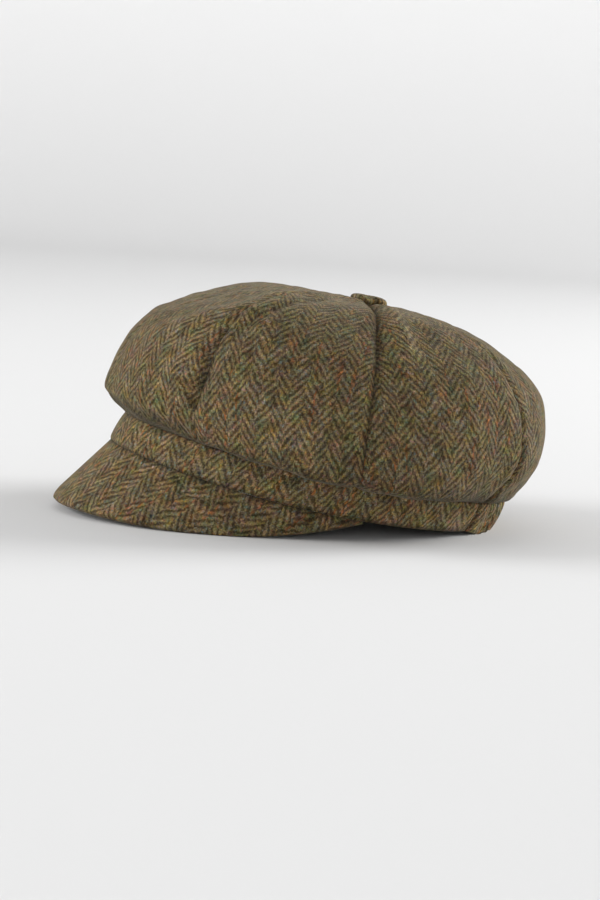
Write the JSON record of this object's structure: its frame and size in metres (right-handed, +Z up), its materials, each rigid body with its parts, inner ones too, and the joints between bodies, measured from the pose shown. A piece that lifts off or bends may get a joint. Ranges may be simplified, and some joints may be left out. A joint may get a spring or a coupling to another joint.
{
  "type": "tweed hat",
  "caption": "Soft tweed cap with a round panelled crown, covered top button, head band with a gathered back casing, and a short curved peak.",
  "frame": {"origin": "centre of the bounding box in plan, on the surface that the hat rests on", "axes": "+Z up from the surface, -Y to the hat's front, +X to the wearer's left"},
  "size_m": [0.2376, 0.2592, 0.123],
  "materials": {
    "crown_tweed": "matte woollen herringbone tweed",
    "band_tweed": "matte woollen herringbone tweed",
    "peak_tweed": "matte woollen herringbone tweed",
    "under_peak_tweed": "matte woollen herringbone tweed",
    "casing_tweed": "matte woollen herringbone tweed",
    "button_tweed": "matte woollen herringbone tweed"
  },
  "bodies": {
    "root": {"panel_front_left": "crown_tweed", "panel_fore_left": "crown_tweed", "panel_aft_left": "crown_tweed", "panel_back_left": "crown_tweed", "panel_back_right": "crown_tweed", "panel_aft_right": "crown_tweed", "panel_fore_right": "crown_tweed", "panel_front_right": "crown_tweed", "band": "band_tweed", "back_casing": "casing_tweed", "peak_upper": "peak_tweed", "peak_under": "under_peak_tweed", "top_button": "button_tweed"}
  },
  "joints": []
}
